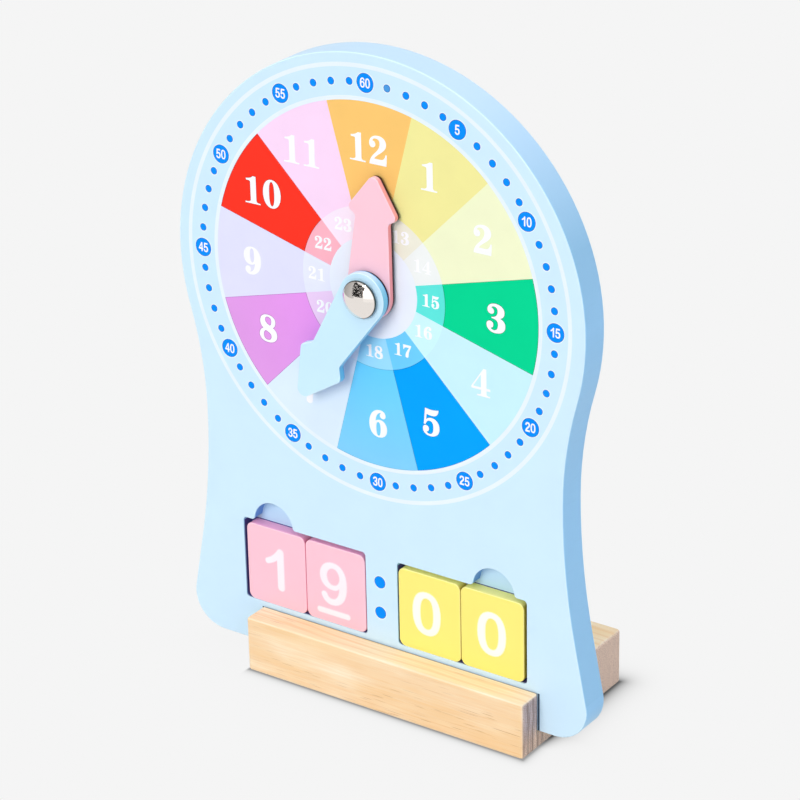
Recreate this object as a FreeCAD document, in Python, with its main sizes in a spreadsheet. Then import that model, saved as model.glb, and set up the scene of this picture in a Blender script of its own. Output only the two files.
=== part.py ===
import FreeCAD, Part
import Sketcher
import math
import os
from types import SimpleNamespace

from FreeCAD import Placement, Rotation, Vector

# A wooden teaching clock: a painted board that stands in the groove of a pine
# block, two hands that turn on a screw pivot, and four number tiles in two
# shallow windows.  The frame: X to the reader's right, Y into the board from
# its front face, Z up.  The origin is on the underside of the pine block,
# below the pivot and in the plane of the board's front face.

SIZES = {
    # painted board; its heights are above its own lower edge
    "board_thickness": 12.6,
    "head_radius": 89.0,
    "head_centre_height": 160.4,
    "waist_height": 95.0,
    "upper_waist_radius": 150.0,
    "lower_waist_radius": 285.0,
    "foot_half_width": 90.2,
    "foot_corner_radius": 13.5,
    "board_edge_round": 0.5,
    # windows for the number tiles, with a notch for a finger above each
    "window_inner_x": 7.2,
    "window_outer_x": 64.65,
    "window_sill_height": 18.1,
    "window_height": 34.6,
    "window_depth": 5.1,
    "notch_x": 50.2,
    "notch_radius": 9.1,
    "window_corner_radius": 1.5,
    "window_rim_round": 0.2,
    # pine block and the groove that holds the board
    "block_length": 126.6,
    "block_height": 23.0,
    "block_front": 11.0,
    "block_rear": 58.5,
    "block_shift": 6.5,
    "groove_floor_height": 7.0,
    "groove_clearance": 0.3,
    "block_edge_round": 1.0,
    "groove_edge_round": 0.3,
    "block_end_round": 1.3,
    # pivot: a sleeve nut from the back, a domed screw from the front
    "board_hole_radius": 2.6,
    "recess_radius": 6.4,
    "recess_depth": 2.0,
    "sleeve_radius": 2.5,
    "sleeve_end_gap": 0.25,
    "nut_head_radius": 6.0,
    "nut_head_thickness": 1.6,
    "nut_bore_depth": 8.0,
    "driver_slot_width": 1.2,
    "driver_slot_depth": 0.7,
    "screw_radius": 1.6,
    "screw_depth": 7.0,
    "dome_radius": 7.25,
    "dome_height": 3.4,
    "dome_rim_radius": 0.45,
    "dome_flat_radius": 0.05,
    # washers, and the play that lets the hands turn
    "washer_radius": 5.0,
    "running_clearance": 0.05,
    "axial_play": 0.05,
    "board_washer_thickness": 0.8,
    "hand_washer_thickness": 1.05,
    "dome_washer_thickness": 0.8,
    # hands
    "hand_thickness": 3.0,
    "hub_radius": 9.6,
    "hand_edge_round": 0.3,
    "hour_neck_length": 29.4,
    "hour_neck_half_width": 7.1,
    "hour_barb_length": 31.5,
    "hour_barb_half_width": 11.0,
    "hour_tip_length": 47.3,
    "hour_tip_radius": 2.6,
    "hour_corner_radius": 2.0,
    "hour_angle": 4.4,
    "minute_neck_length": 30.8,
    "minute_neck_half_width": 6.95,
    "minute_barb_length": 35.3,
    "minute_barb_half_width": 10.5,
    "minute_tip_length": 57.0,
    "minute_tip_radius": 3.0,
    "minute_corner_radius": 2.3,
    "minute_angle": 213.0,
    # number tiles
    "tile_width": 27.7,
    "tile_height": 32.9,
    "tile_thickness": 5.0,
    "tile_corner_radius": 2.8,
    "tile_edge_round": 0.4,
    "hour_tens_x": -49.4,
    "hour_units_x": -21.45,
    "minute_tens_x": 21.6,
    "minute_units_x": 49.55,
}
SHEET = "Sizes"

# Depths in front of the board along the pivot, as sums of the sheet's cells.
PIVOT_HEIGHT = "groove_floor_height + head_centre_height"
BOARD_WASHER_FRONT = "board_washer_thickness"
HOUR_FRONT = f"{BOARD_WASHER_FRONT} + axial_play + hand_thickness"
HAND_WASHER_FRONT = f"{HOUR_FRONT} + axial_play + hand_washer_thickness"
MINUTE_FRONT = f"{HAND_WASHER_FRONT} + axial_play + hand_thickness"
DOME_SEAT = f"{MINUTE_FRONT} + axial_play + dome_washer_thickness"

doc = FreeCAD.newDocument("TeachingClock")
size = SimpleNamespace(**SIZES)


def fill_sheet():
    """Put every driving dimension in the spreadsheet under its own alias."""
    sheet = doc.addObject("Spreadsheet::Sheet", SHEET)
    for row, (alias, value) in enumerate(SIZES.items(), start=1):
        sheet.set(f"A{row}", alias)
        sheet.set(f"B{row}", str(value))
        sheet.setAlias(f"B{row}", alias)
    doc.recompute()


def total(text):
    """The value of a sum of aliases."""
    return sum(SIZES[word] for word in text.split(" + "))


def bind(obj, prop, text):
    """Drive a property by an expression written with the sheet's aliases."""
    words = text.replace("(", "( ").replace(")", " )").split()
    cells = [f"{SHEET}.{word}" if word in SIZES else word for word in words]
    obj.setExpression(prop, " ".join(cells))


# Bodies, sketches and features ------------------------------------------------

def new_body(label, x=None, y=None, z=None, turn=None):
    """An empty body, placed by expressions; turn is an angle about Y."""
    body = doc.addObject("PartDesign::Body", label)
    body.Label = label
    if turn:
        body.Placement = Placement(Vector(), Rotation(Vector(0, 1, 0), 1))
        bind(body, "Placement.Rotation.Angle", turn)
    for axis, text in (("x", x), ("y", y), ("z", z)):
        if text:
            bind(body, f"Placement.Base.{axis}", text)
    return body


def origin_feature(body, role):
    return next(part for part in body.Origin.OriginFeatures if part.Role == role)


def new_sketch(body, name, role="XZ_Plane", offset=None):
    """A sketch on an origin plane.  On XZ_Plane it reads X, Z and faces -Y."""
    sketch = body.newObject("Sketcher::SketchObject", name)
    sketch.AttachmentSupport = [(origin_feature(body, role), "")]
    sketch.MapMode = "FlatFace"
    if offset:
        bind(sketch, "AttachmentOffset.Base.z", offset)
    return sketch


def feature(body, kind, name, sketch, **properties):
    """Add a sketch-based feature; text properties are expressions."""
    made = body.newObject(f"PartDesign::{kind}", name)
    made.Profile = sketch
    for prop, value in properties.items():
        if prop in ("Length", "Angle"):
            bind(made, prop, value)
        else:
            setattr(made, prop, value)
    sketch.Visibility = False
    doc.recompute()
    return made


def pad(body, name, sketch, length):
    """Pad from the front face into the board's depth, along +Y."""
    return feature(body, "Pad", name, sketch, Length=length, Reversed=True)


def pocket(body, name, sketch, length):
    """Cut along +Y from the sketch's plane."""
    return feature(body, "Pocket", name, sketch, Length=length)


def mirrored(body, name, *originals):
    """Mirror features across the body's YZ plane."""
    made = body.newObject("PartDesign::Mirrored", name)
    made.Originals = list(originals)
    made.MirrorPlane = (origin_feature(body, "YZ_Plane"), [""])
    body.Tip = made
    doc.recompute()
    return made


def round_edges(body, name, radius, test):
    """Fillet the edges of the body's tip that pass the test."""
    base = body.Tip
    names = [f"Edge{i}" for i, edge in enumerate(base.Shape.Edges, start=1) if test(edge)]
    made = body.newObject("PartDesign::Fillet", name)
    made.Base = (base, names)
    bind(made, "Radius", radius)
    doc.recompute()
    return made


def samples(edge):
    """Three points of an edge: its ends and its middle."""
    first, last = edge.FirstParameter, edge.LastParameter
    return [edge.valueAt(value) for value in (first, (first + last) / 2, last)]


def close(value, target):
    return abs(value - target) < 1e-4


def along(edge, axis):
    """True for a straight edge parallel to axis "x", "y" or "z"."""
    first, _, last = samples(edge)
    if not isinstance(edge.Curve, Part.Line):
        return False
    others = [name for name in "xyz" if name != axis]
    return all(close(getattr(first, name), getattr(last, name)) for name in others)


def at_depth(*depths):
    """A test for edges that lie in one of the planes Y = depth."""
    def test(edge):
        return any(all(close(point.y, depth) for point in samples(edge)) for depth in depths)
    return test


# Sketch geometry --------------------------------------------------------------

def tie(sketch, kind, *place):
    sketch.addConstraint(Sketcher.Constraint(kind, *place))


def drive(sketch, constraint, to):
    """Add a dimension and bind it to an expression."""
    index = sketch.addConstraint(constraint)
    bind(sketch, f"Constraints[{index}]", to)


def set_radius(sketch, geometry, to):
    drawn = sketch.Geometry[geometry].Radius
    drive(sketch, Sketcher.Constraint("Radius", geometry, drawn), to)


def set_distance(sketch, axis, geometry, point, to):
    """Fix a point's signed distance from the origin along "x" or "y"."""
    drawn = getattr(sketch.getPoint(geometry, point), axis)
    kind = f"Distance{axis.upper()}"
    drive(sketch, Sketcher.Constraint(kind, -1, 1, geometry, point, drawn), to)


def locate(sketch, geometry, point, x=None, y=None):
    """Place a point from the origin; a missing expression means on that axis."""
    for axis, text, line_number in (("x", x, -2), ("y", y, -1)):
        if text:
            set_distance(sketch, axis, geometry, point, text)
        else:
            tie(sketch, "PointOnObject", geometry, point, line_number)


def line(sketch, start, end):
    return sketch.addGeometry(Part.LineSegment(Vector(*start), Vector(*end)), False)


def arc(sketch, centre, radius, start, end):
    shape = Part.Circle(Vector(*centre), Vector(0, 0, 1), radius)
    return sketch.addGeometry(Part.ArcOfCircle(shape, start, end), False)


def circle(sketch, radius, x=None, y=None):
    index = sketch.addGeometry(Part.Circle(Vector(1, 1), Vector(0, 0, 1), 1), False)
    locate(sketch, index, 3, x, y)
    set_radius(sketch, index, radius)
    return index


def polygon(sketch, corners):
    """A closed outline; each corner is a pair of expressions, None on an axis."""
    count = len(corners)
    turn = 2 * math.pi / count
    angles = [turn * (i + 0.3) for i in range(count)]
    spots = [(math.cos(angle), math.sin(angle)) for angle in angles]
    lines = [line(sketch, spots[i], spots[(i + 1) % count]) for i in range(count)]
    for i, (x, y) in enumerate(corners):
        tie(sketch, "Coincident", lines[i - 1], 2, lines[i], 1)
        locate(sketch, lines[i], 1, x, y)


# The board --------------------------------------------------------------------

def sketch_half_board(sketch):
    """The right half of the board's outline.

    It runs from the top of the head through a hollow waist to the rounded
    corner of the foot, with every arc tangent to the next.
    """
    head = Vector(0, size.head_centre_height)
    corner_x = size.foot_half_width - size.foot_corner_radius
    drop = size.head_centre_height - size.waist_height
    reach = size.head_radius + size.upper_waist_radius
    leave = math.asin(drop / reach)
    upper = Vector(reach * math.cos(leave), size.waist_height)
    waist_x = upper.x - size.upper_waist_radius
    lower = Vector(waist_x + size.lower_waist_radius, size.waist_height)
    span = lower - Vector(corner_x, size.foot_corner_radius)
    both = size.lower_waist_radius + size.foot_corner_radius
    flare = math.acos(both / span.Length) - math.atan2(span.y, span.x)
    slope = abs(flare)
    out = Vector(math.cos(slope), math.sin(slope))
    hip = lower - out * size.lower_waist_radius
    heel = Vector(corner_x, size.foot_corner_radius) + out * size.foot_corner_radius

    top_arc = arc(sketch, head, size.head_radius, -leave, math.pi / 2)
    upper_arc = arc(sketch, upper, size.upper_waist_radius, math.pi - leave, math.pi)
    lower_arc = arc(sketch, lower, size.lower_waist_radius, math.pi, math.pi + slope)
    flank = line(sketch, hip, heel)
    centre = (corner_x, size.foot_corner_radius)
    corner = arc(sketch, centre, size.foot_corner_radius, -math.pi / 2, slope)
    foot = line(sketch, (0, 0), (corner_x, 0))
    middle = line(sketch, (0, 0), (0, size.head_centre_height + size.head_radius))

    for first, end, second, start in (
        (top_arc, 1, upper_arc, 1),
        (upper_arc, 2, lower_arc, 1),
        (lower_arc, 2, flank, 1),
        (flank, 2, corner, 2),
        (corner, 1, foot, 2),
    ):
        tie(sketch, "Tangent", first, end, second, start)
    tie(sketch, "Coincident", foot, 1, -1, 1)
    tie(sketch, "Coincident", middle, 1, -1, 1)
    tie(sketch, "Coincident", middle, 2, top_arc, 2)
    tie(sketch, "Horizontal", foot)
    tie(sketch, "Vertical", middle)
    locate(sketch, top_arc, 3, None, "head_centre_height")
    set_radius(sketch, top_arc, "head_radius")
    set_distance(sketch, "y", upper_arc, 3, "waist_height")
    set_radius(sketch, upper_arc, "upper_waist_radius")
    set_distance(sketch, "y", lower_arc, 3, "waist_height")
    set_radius(sketch, lower_arc, "lower_waist_radius")
    set_distance(sketch, "x", corner, 3, "foot_half_width - foot_corner_radius")
    set_radius(sketch, corner, "foot_corner_radius")


def make_board():
    """The painted board: outline, windows, finger notches and pivot hole."""
    board = new_body("clock_board", z="groove_floor_height")
    half = new_sketch(board, "HalfBoard")
    sketch_half_board(half)
    half_pad = pad(board, "HalfBoardPad", half, "board_thickness")
    mirrored(board, "WholeBoard", half_pad)
    faces = at_depth(0, size.board_thickness)
    round_edges(board, "BoardEdges", "board_edge_round", faces)

    window_top = "window_sill_height + window_height"
    windows = new_sketch(board, "Windows")
    for side in ("", "-1 * "):
        near, far = f"{side}window_inner_x", f"{side}window_outer_x"
        corners = [(near, "window_sill_height"), (far, "window_sill_height")]
        polygon(windows, corners + [(far, window_top), (near, window_top)])
    pocket(board, "WindowPockets", windows, "window_depth")
    notches = new_sketch(board, "FingerNotches")
    for side in ("", "-1 * "):
        circle(notches, "notch_radius", f"{side}notch_x", window_top)
    pocket(board, "NotchPockets", notches, "window_depth")

    def upright(edge):
        return along(edge, "y") and close(edge.Length, size.window_depth)
    round_edges(board, "WindowCorners", "window_corner_radius", upright)

    top = size.window_sill_height + size.window_height + size.notch_radius + 1

    def window_rim(edge):
        inside = all(abs(p.x) < size.window_outer_x + 1 and 1 < p.z < top for p in samples(edge))
        return inside and at_depth(0)(edge)
    round_edges(board, "WindowRims", "window_rim_round", window_rim)

    hole = new_sketch(board, "PivotHole")
    circle(hole, "board_hole_radius", None, "head_centre_height")
    pocket(board, "PivotHolePocket", hole, "board_thickness")
    # The recess is cut from a plane inside the board out to the back face.
    recess = new_sketch(board, "NutRecess", offset="recess_depth - board_thickness")
    circle(recess, "recess_radius", None, "head_centre_height")
    pocket(board, "NutRecessPocket", recess, "recess_depth")
    return board


# The pine block ---------------------------------------------------------------

def make_block():
    """The pine block: a U section with rounded edges, cut to length."""
    block = new_body("base_block", x="block_shift")
    front = "-1 * block_front"
    wall_front = "-1 * groove_clearance"
    wall_rear = "board_thickness + groove_clearance"
    section = new_sketch(block, "BlockSection", role="YZ_Plane")
    polygon(section, [
        (front, None),
        ("block_rear", None),
        ("block_rear", "block_height"),
        (wall_rear, "block_height"),
        (wall_rear, "groove_floor_height"),
        (wall_front, "groove_floor_height"),
        (wall_front, "block_height"),
        (front, "block_height"),
    ])
    feature(block, "Pad", "BlockPad", section, Length="block_length", Midplane=True)

    def in_groove(edge):
        middle = samples(edge)[1]
        return -1 < middle.y < size.board_thickness + 1 and middle.z > 1

    def outer_long(edge):
        return along(edge, "x") and not in_groove(edge)
    round_edges(block, "BlockLongEdges", "block_edge_round", outer_long)

    def lip(edge):
        top = close(samples(edge)[0].z, size.block_height)
        return along(edge, "x") and in_groove(edge) and top
    round_edges(block, "GrooveLips", "groove_edge_round", lip)

    def end(edge):
        return all(close(abs(point.x), size.block_length / 2) for point in samples(edge))
    round_edges(block, "BlockEnds", "block_end_round", end)
    return block


# The hands --------------------------------------------------------------------

def make_hand(name, turn, front):
    """An arrow hand that points up in its own frame, then turned to its hour.

    Half of the outline is drawn: the round hub, the tapering shaft, the barb
    and one side of the head.
    """
    sizes = {part: f"{name}_{part}" for part in (
        "neck_length", "neck_half_width", "barb_length", "barb_half_width",
        "tip_length", "tip_radius", "corner_radius")}
    value = SimpleNamespace(**{part: SIZES[alias] for part, alias in sizes.items()})
    body = new_body(f"{name}_hand", y=f"-1 * ({front})", z=PIVOT_HEIGHT, turn=turn)

    neck = Vector(value.neck_half_width, value.neck_length)
    barb = Vector(value.barb_half_width, value.barb_length)
    tip = Vector(0, value.tip_length)
    swing = math.acos(size.hub_radius / neck.Length)
    touch = math.atan2(neck.y, neck.x) - swing
    shoulder = Vector(math.cos(touch), math.sin(touch)) * size.hub_radius
    half = new_sketch(body, "HalfHand")
    hub = arc(half, (0, 0), size.hub_radius, -math.pi / 2, touch)
    shaft = line(half, shoulder, neck)
    under = line(half, neck, barb)
    side = line(half, barb, tip)
    middle = line(half, tip, (0, -size.hub_radius))
    tie(half, "Coincident", hub, 3, -1, 1)
    set_radius(half, hub, "hub_radius")
    tie(half, "Tangent", hub, 2, shaft, 1)
    for first, second in ((shaft, under), (under, side), (side, middle)):
        tie(half, "Coincident", first, 2, second, 1)
    tie(half, "Coincident", middle, 2, hub, 1)
    tie(half, "Vertical", middle)
    locate(half, under, 1, sizes["neck_half_width"], sizes["neck_length"])
    locate(half, side, 1, sizes["barb_half_width"], sizes["barb_length"])
    locate(half, middle, 1, None, sizes["tip_length"])
    mirrored(body, "WholeHand", pad(body, "HalfHandPad", half, "hand_thickness"))

    def corner(edge):
        first = samples(edge)[0]
        return along(edge, "y") and first.z > size.hub_radius and abs(first.x) > 1
    round_edges(body, "HandCorners", sizes["corner_radius"], corner)

    def point(edge):
        first = samples(edge)[0]
        return along(edge, "y") and close(first.z, value.tip_length)
    round_edges(body, "HandTip", sizes["tip_radius"], point)
    round_edges(body, "HandEdges", "hand_edge_round", at_depth(0, size.hand_thickness))

    bore = new_sketch(body, "Bore")
    circle(bore, "sleeve_radius + running_clearance")
    pocket(body, "BorePocket", bore, "hand_thickness")
    return body


# The pivot --------------------------------------------------------------------

def make_washer(label, front, thickness):
    body = new_body(label, y=f"-1 * ({front})", z=PIVOT_HEIGHT)
    ring = new_sketch(body, "Ring")
    circle(ring, "washer_radius")
    circle(ring, "sleeve_radius + running_clearance")
    pad(body, "RingPad", ring, thickness)
    return body


def revolve(body, name, sketch):
    """Turn a profile that reads X, Y about the pivot's own axis."""
    made = body.newObject("PartDesign::Revolution", name)
    made.Profile = sketch
    made.ReferenceAxis = (origin_feature(body, "Y_Axis"), [""])
    made.Angle = 360
    doc.recompute()
    return made


def make_nut():
    """The sleeve nut: a flat slotted head in the board's back recess and a
    sleeve that reaches through the board and both hands."""
    body = new_body("barrel_nut", z=PIVOT_HEIGHT)
    sleeve_end = f"sleeve_end_gap - ({DOME_SEAT})"
    head_front = "board_thickness - recess_depth"
    head_back = f"{head_front} + nut_head_thickness"
    profile = new_sketch(body, "NutProfile", role="XY_Plane")
    polygon(profile, [
        ("screw_radius", "nut_bore_depth"),
        ("screw_radius", sleeve_end),
        ("sleeve_radius", sleeve_end),
        ("sleeve_radius", head_front),
        ("nut_head_radius", head_front),
        ("nut_head_radius", head_back),
        (None, head_back),
        (None, "nut_bore_depth"),
    ])
    revolve(body, "NutRevolution", profile)
    slot_floor = f"driver_slot_depth - ({head_back})"
    slot = new_sketch(body, "DriverSlot", offset=slot_floor)
    wide, tall = "nut_head_radius + 1", "driver_slot_width / 2"
    corners = [(f"-1 * ({wide})", f"-1 * {tall}"), (wide, f"-1 * {tall}")]
    polygon(slot, corners + [(wide, tall), (f"-1 * ({wide})", tall)])
    pocket(body, "DriverSlotPocket", slot, "driver_slot_depth + 1")
    return body


def make_screw():
    """The domed screw: a low cap with a small rolled rim and a polished-off
    pole, and its shank."""
    body = new_body("pivot_screw", z=PIVOT_HEIGHT)
    seat = -total(DOME_SEAT)
    rim = Vector(size.dome_radius - size.dome_rim_radius, seat - size.dome_rim_radius)
    rise = size.dome_height - size.dome_rim_radius
    squares = rim.x ** 2 + rise ** 2 - size.dome_rim_radius ** 2
    radius = squares / (2 * (rise - size.dome_rim_radius))
    crown = Vector(0, seat - size.dome_height + radius)
    touch = math.atan2(rim.y - crown.y, rim.x)
    pole = Vector(size.dome_flat_radius, seat - size.dome_height)

    sketch = new_sketch(body, "ScrewProfile", role="XY_Plane")
    flat = line(sketch, (0, pole.y), (pole.x, pole.y))
    start = math.atan2(pole.y - crown.y, pole.x)
    dome = arc(sketch, crown, radius, start, touch)
    edge = arc(sketch, rim, size.dome_rim_radius, touch, math.pi / 2)
    under = line(sketch, (rim.x, seat), (size.screw_radius, seat))
    shank = line(sketch, (size.screw_radius, seat), (size.screw_radius, size.screw_depth))
    end = line(sketch, (size.screw_radius, size.screw_depth), (0, size.screw_depth))
    axis = line(sketch, (0, size.screw_depth), (0, pole.y))
    tie(sketch, "Tangent", dome, 2, edge, 1)
    tie(sketch, "Tangent", edge, 2, under, 1)
    for first, second in ((under, shank), (shank, end), (end, axis), (axis, flat), (flat, dome)):
        tie(sketch, "Coincident", first, 2, second, 1)
    for kind, item in (("Horizontal", under), ("Vertical", shank), ("Horizontal", end)):
        tie(sketch, kind, item)
    tie(sketch, "Horizontal", flat)
    set_distance(sketch, "x", flat, 2, "dome_flat_radius")
    tie(sketch, "PointOnObject", dome, 3, -2)
    locate(sketch, axis, 1, None, "screw_depth")
    locate(sketch, axis, 2, None, f"-1 * ({DOME_SEAT} + dome_height)")
    locate(sketch, shank, 1, "screw_radius", f"-1 * ({DOME_SEAT})")
    set_distance(sketch, "x", edge, 3, "dome_radius - dome_rim_radius")
    set_radius(sketch, edge, "dome_rim_radius")
    revolve(body, "ScrewRevolution", sketch)
    return body


# The number tiles -------------------------------------------------------------

def make_tile(label, x):
    """A wooden tile that stands on the window's sill, flush with the board."""
    body = new_body(label, x=x, z="groove_floor_height + window_sill_height")
    face = new_sketch(body, "TileFace")
    left, right = "-1 * tile_width / 2", "tile_width / 2"
    polygon(face, [(left, None), (right, None), (right, "tile_height"), (left, "tile_height")])
    pad(body, "TilePad", face, "tile_thickness")
    round_edges(body, "TileCorners", "tile_corner_radius", lambda edge: along(edge, "y"))
    faces = at_depth(0, size.tile_thickness)
    round_edges(body, "TileEdges", "tile_edge_round", faces)
    return body


def check_document(pieces):
    """Stop if anything failed to build or a cut took nothing away."""
    for item in doc.Objects:
        if any(word in ("Invalid", "Error") for word in item.State):
            raise RuntimeError(f"{item.Name} failed: {item.State}")
        if item.TypeId == "PartDesign::Pocket" and item.Shape.Volume >= item.BaseFeature.Shape.Volume:
            raise RuntimeError(f"{item.Name} removes nothing")
    for piece in pieces:
        if piece.Shape.isNull() or not piece.Shape.isValid() or len(piece.Shape.Solids) != 1:
            raise RuntimeError(f"{piece.Label} is not one valid solid")


def build():
    """Make every piece and write one STEP file for each."""
    fill_sheet()
    pieces = [make_board(), make_block()]
    pieces.append(make_hand("hour", "hour_angle", HOUR_FRONT))
    pieces.append(make_hand("minute", "minute_angle", MINUTE_FRONT))
    pieces.append(make_washer("board_washer", BOARD_WASHER_FRONT, "board_washer_thickness"))
    pieces.append(make_washer("hand_washer", HAND_WASHER_FRONT, "hand_washer_thickness"))
    pieces.append(make_washer("dome_washer", DOME_SEAT, "dome_washer_thickness"))
    pieces.append(make_nut())
    pieces.append(make_screw())
    for place in ("hour_tens", "hour_units", "minute_tens", "minute_units"):
        pieces.append(make_tile(f"tile_{place}", f"{place}_x"))
    doc.recompute()
    check_document(pieces)
    os.makedirs("parts", exist_ok=True)
    for piece in pieces:
        piece.Shape.exportStep(f"parts/{piece.Label}.step")
        box = piece.Shape.BoundBox
        print(f"{piece.Label:18s} X {box.XMin:8.2f} {box.XMax:8.2f}  Y {box.YMin:7.2f} {box.YMax:7.2f}"
              f"  Z {box.ZMin:7.2f} {box.ZMax:7.2f}  {piece.Shape.Volume:10.1f} mm3")


build()
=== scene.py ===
import math

import bmesh
import bpy
from mathutils import Matrix, Vector
from mathutils.geometry import delaunay_2d_cdt, interpolate_bezier


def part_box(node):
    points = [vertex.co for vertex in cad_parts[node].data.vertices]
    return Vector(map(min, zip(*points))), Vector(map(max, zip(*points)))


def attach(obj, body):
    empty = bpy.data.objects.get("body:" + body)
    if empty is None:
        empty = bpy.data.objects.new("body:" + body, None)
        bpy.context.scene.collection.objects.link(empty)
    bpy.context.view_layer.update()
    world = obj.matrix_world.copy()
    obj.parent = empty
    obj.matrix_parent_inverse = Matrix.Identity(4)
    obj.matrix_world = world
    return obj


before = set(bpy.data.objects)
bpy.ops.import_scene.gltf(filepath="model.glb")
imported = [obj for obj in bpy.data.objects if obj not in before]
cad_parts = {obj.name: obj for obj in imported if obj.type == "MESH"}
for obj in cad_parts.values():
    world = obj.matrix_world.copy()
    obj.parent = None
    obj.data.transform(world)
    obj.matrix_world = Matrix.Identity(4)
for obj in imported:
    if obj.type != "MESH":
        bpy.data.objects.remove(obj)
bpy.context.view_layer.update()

MM = 0.001


# ---------------------------------------------------------------- places taken from the frame
def middle(node):
    """The middle of a CAD node's box."""
    low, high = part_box(node)
    return (low + high) / 2


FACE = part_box("clock_board")[0].y  # the board's front face
PIVOT = middle("pivot_screw")  # both hands turn about this point
DIAL = PIVOT + Vector((-0.5, 0, 1.0)) * MM  # the print sits a little off the pivot
NOON = 12


# ---------------------------------------------------------------- printed shapes
# Numerals with serifs, one unit being a hundredth of their height. Each shape is an outline
# and then its holes. Nine is six turned upside down.
SERIF_DIGITS = {
    "0": """M 37 102 C 59 102 75 81 75 50 C 75 19 59 -2 37 -2 C 15 -2 0 19 0 50
        C 0 81 15 102 37 102 Z
        M 37 94 C 44 94 48 78 48 50 C 48 22 44 6 37 6 C 30 6 26 22 26 50
        C 26 78 30 94 37 94 Z""",
    "1": """M 0 0 L 0 5 C 14 5 23 6 23 14 L 23 76 C 23 82 19 83 6 83 L 5 89
        C 18 90 28 94 34 100 L 47 100 L 47 14 C 47 6 53 5 64 5 L 64 0 Z""",
    "2": """M 0 0 C 1 14 8 25 19 36 C 30 47 43 58 43 75 C 43 86 37 91 28 91
        C 20 91 15 88 14 82 C 21 82 26 77 26 70 C 26 63 20 58 13 58
        C 6 58 1 64 1 73 C 1 90 16 102 36 102 C 56 102 69 91 69 75
        C 69 60 56 50 42 40 C 33 34 25 28 20 20 L 46 20 C 57 20 63 27 66 40
        L 71 40 L 69 0 Z""",
    "3": """M 20 54 C 33 54 44 62 44 77 C 44 87 38 92 30 92 C 25 92 21 90 20 87
        C 26 86 30 81 30 75 C 30 68 25 64 18 64 C 10 64 4 70 4 78
        C 4 93 18 103 36 103 C 57 103 71 92 71 76 C 71 64 64 57 54 53
        C 66 50 74 41 74 28 C 74 10 58 -2 33 -2 C 14 -2 0 9 0 25
        C 0 33 6 39 14 39 C 21 39 27 34 27 27 C 27 20 23 15 17 14
        C 19 10 24 8 29 8 C 39 8 45 17 45 30 C 45 42 37 49 20 49 Z""",
    "4": """M 48 101 L 0 31 L 0 23 L 38 23 L 38 13 C 38 6 32 5 22 5 L 22 0 L 74 0 L 74 5
        C 64 5 60 6 60 13 L 60 23 L 75 23 L 75 32 L 60 32 L 60 101 Z
        M 38 79 L 38 32 L 7 32 Z""",
    "5": """M 10 100 C 28 96 45 96 65 101 C 64 84 56 75 38 75 C 30 75 23 76 16 78
        L 14 58 C 20 64 27 67 35 67 C 55 67 68 53 68 33 C 68 11 52 -2 30 -2
        C 12 -2 0 8 0 21 C 0 30 5 36 12 36 C 19 36 25 31 25 24
        C 25 18 21 13 15 12 C 17 8 21 6 26 6 C 38 6 43 15 43 31
        C 43 47 38 55 28 55 C 20 55 14 49 11 39 L 4 39 Z""",
    "6": """M 51 92 C 37 92 28 79 27 58 C 32 63 38 65 46 65 C 62 65 74 52 74 32
        C 74 11 59 -2 38 -2 C 15 -2 0 17 0 46 C 0 80 20 102 46 102
        C 60 102 69 94 69 83 C 69 76 64 71 57 71 C 50 71 45 76 45 82
        C 45 87 47 90 51 92 Z
        M 38 56 C 44 56 47 47 47 31 C 47 13 44 4 38 4 C 32 4 29 13 29 31
        C 29 47 32 56 38 56 Z""",
    "7": """M 0 100 L 3 62 L 8 62 C 10 74 17 80 29 80 L 53 80 C 42 64 21 38 21 12
        C 21 3 26 -2 34 -2 C 43 -2 48 4 48 14 C 48 40 60 62 72 92 L 72 100 Z""",
    "8": """M 37 102 C 57 102 70 93 70 78 C 70 67 66 60 58 55 C 69 50 76 41 76 28
        C 76 10 60 -2 37 -2 C 15 -2 0 8 0 24 C 0 36 6 44 17 49
        C 8 55 4 63 4 74 C 4 92 17 102 37 102 Z
        M 38 94 C 46 94 52 88 52 78 C 52 71 50 66 46 62 C 33 67 25 73 25 82
        C 25 89 30 94 38 94 Z
        M 27 42 C 42 37 51 31 51 22 C 51 13 45 7 35 7 C 25 7 18 14 18 25
        C 18 32 21 38 27 42 Z""",
}

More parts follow.
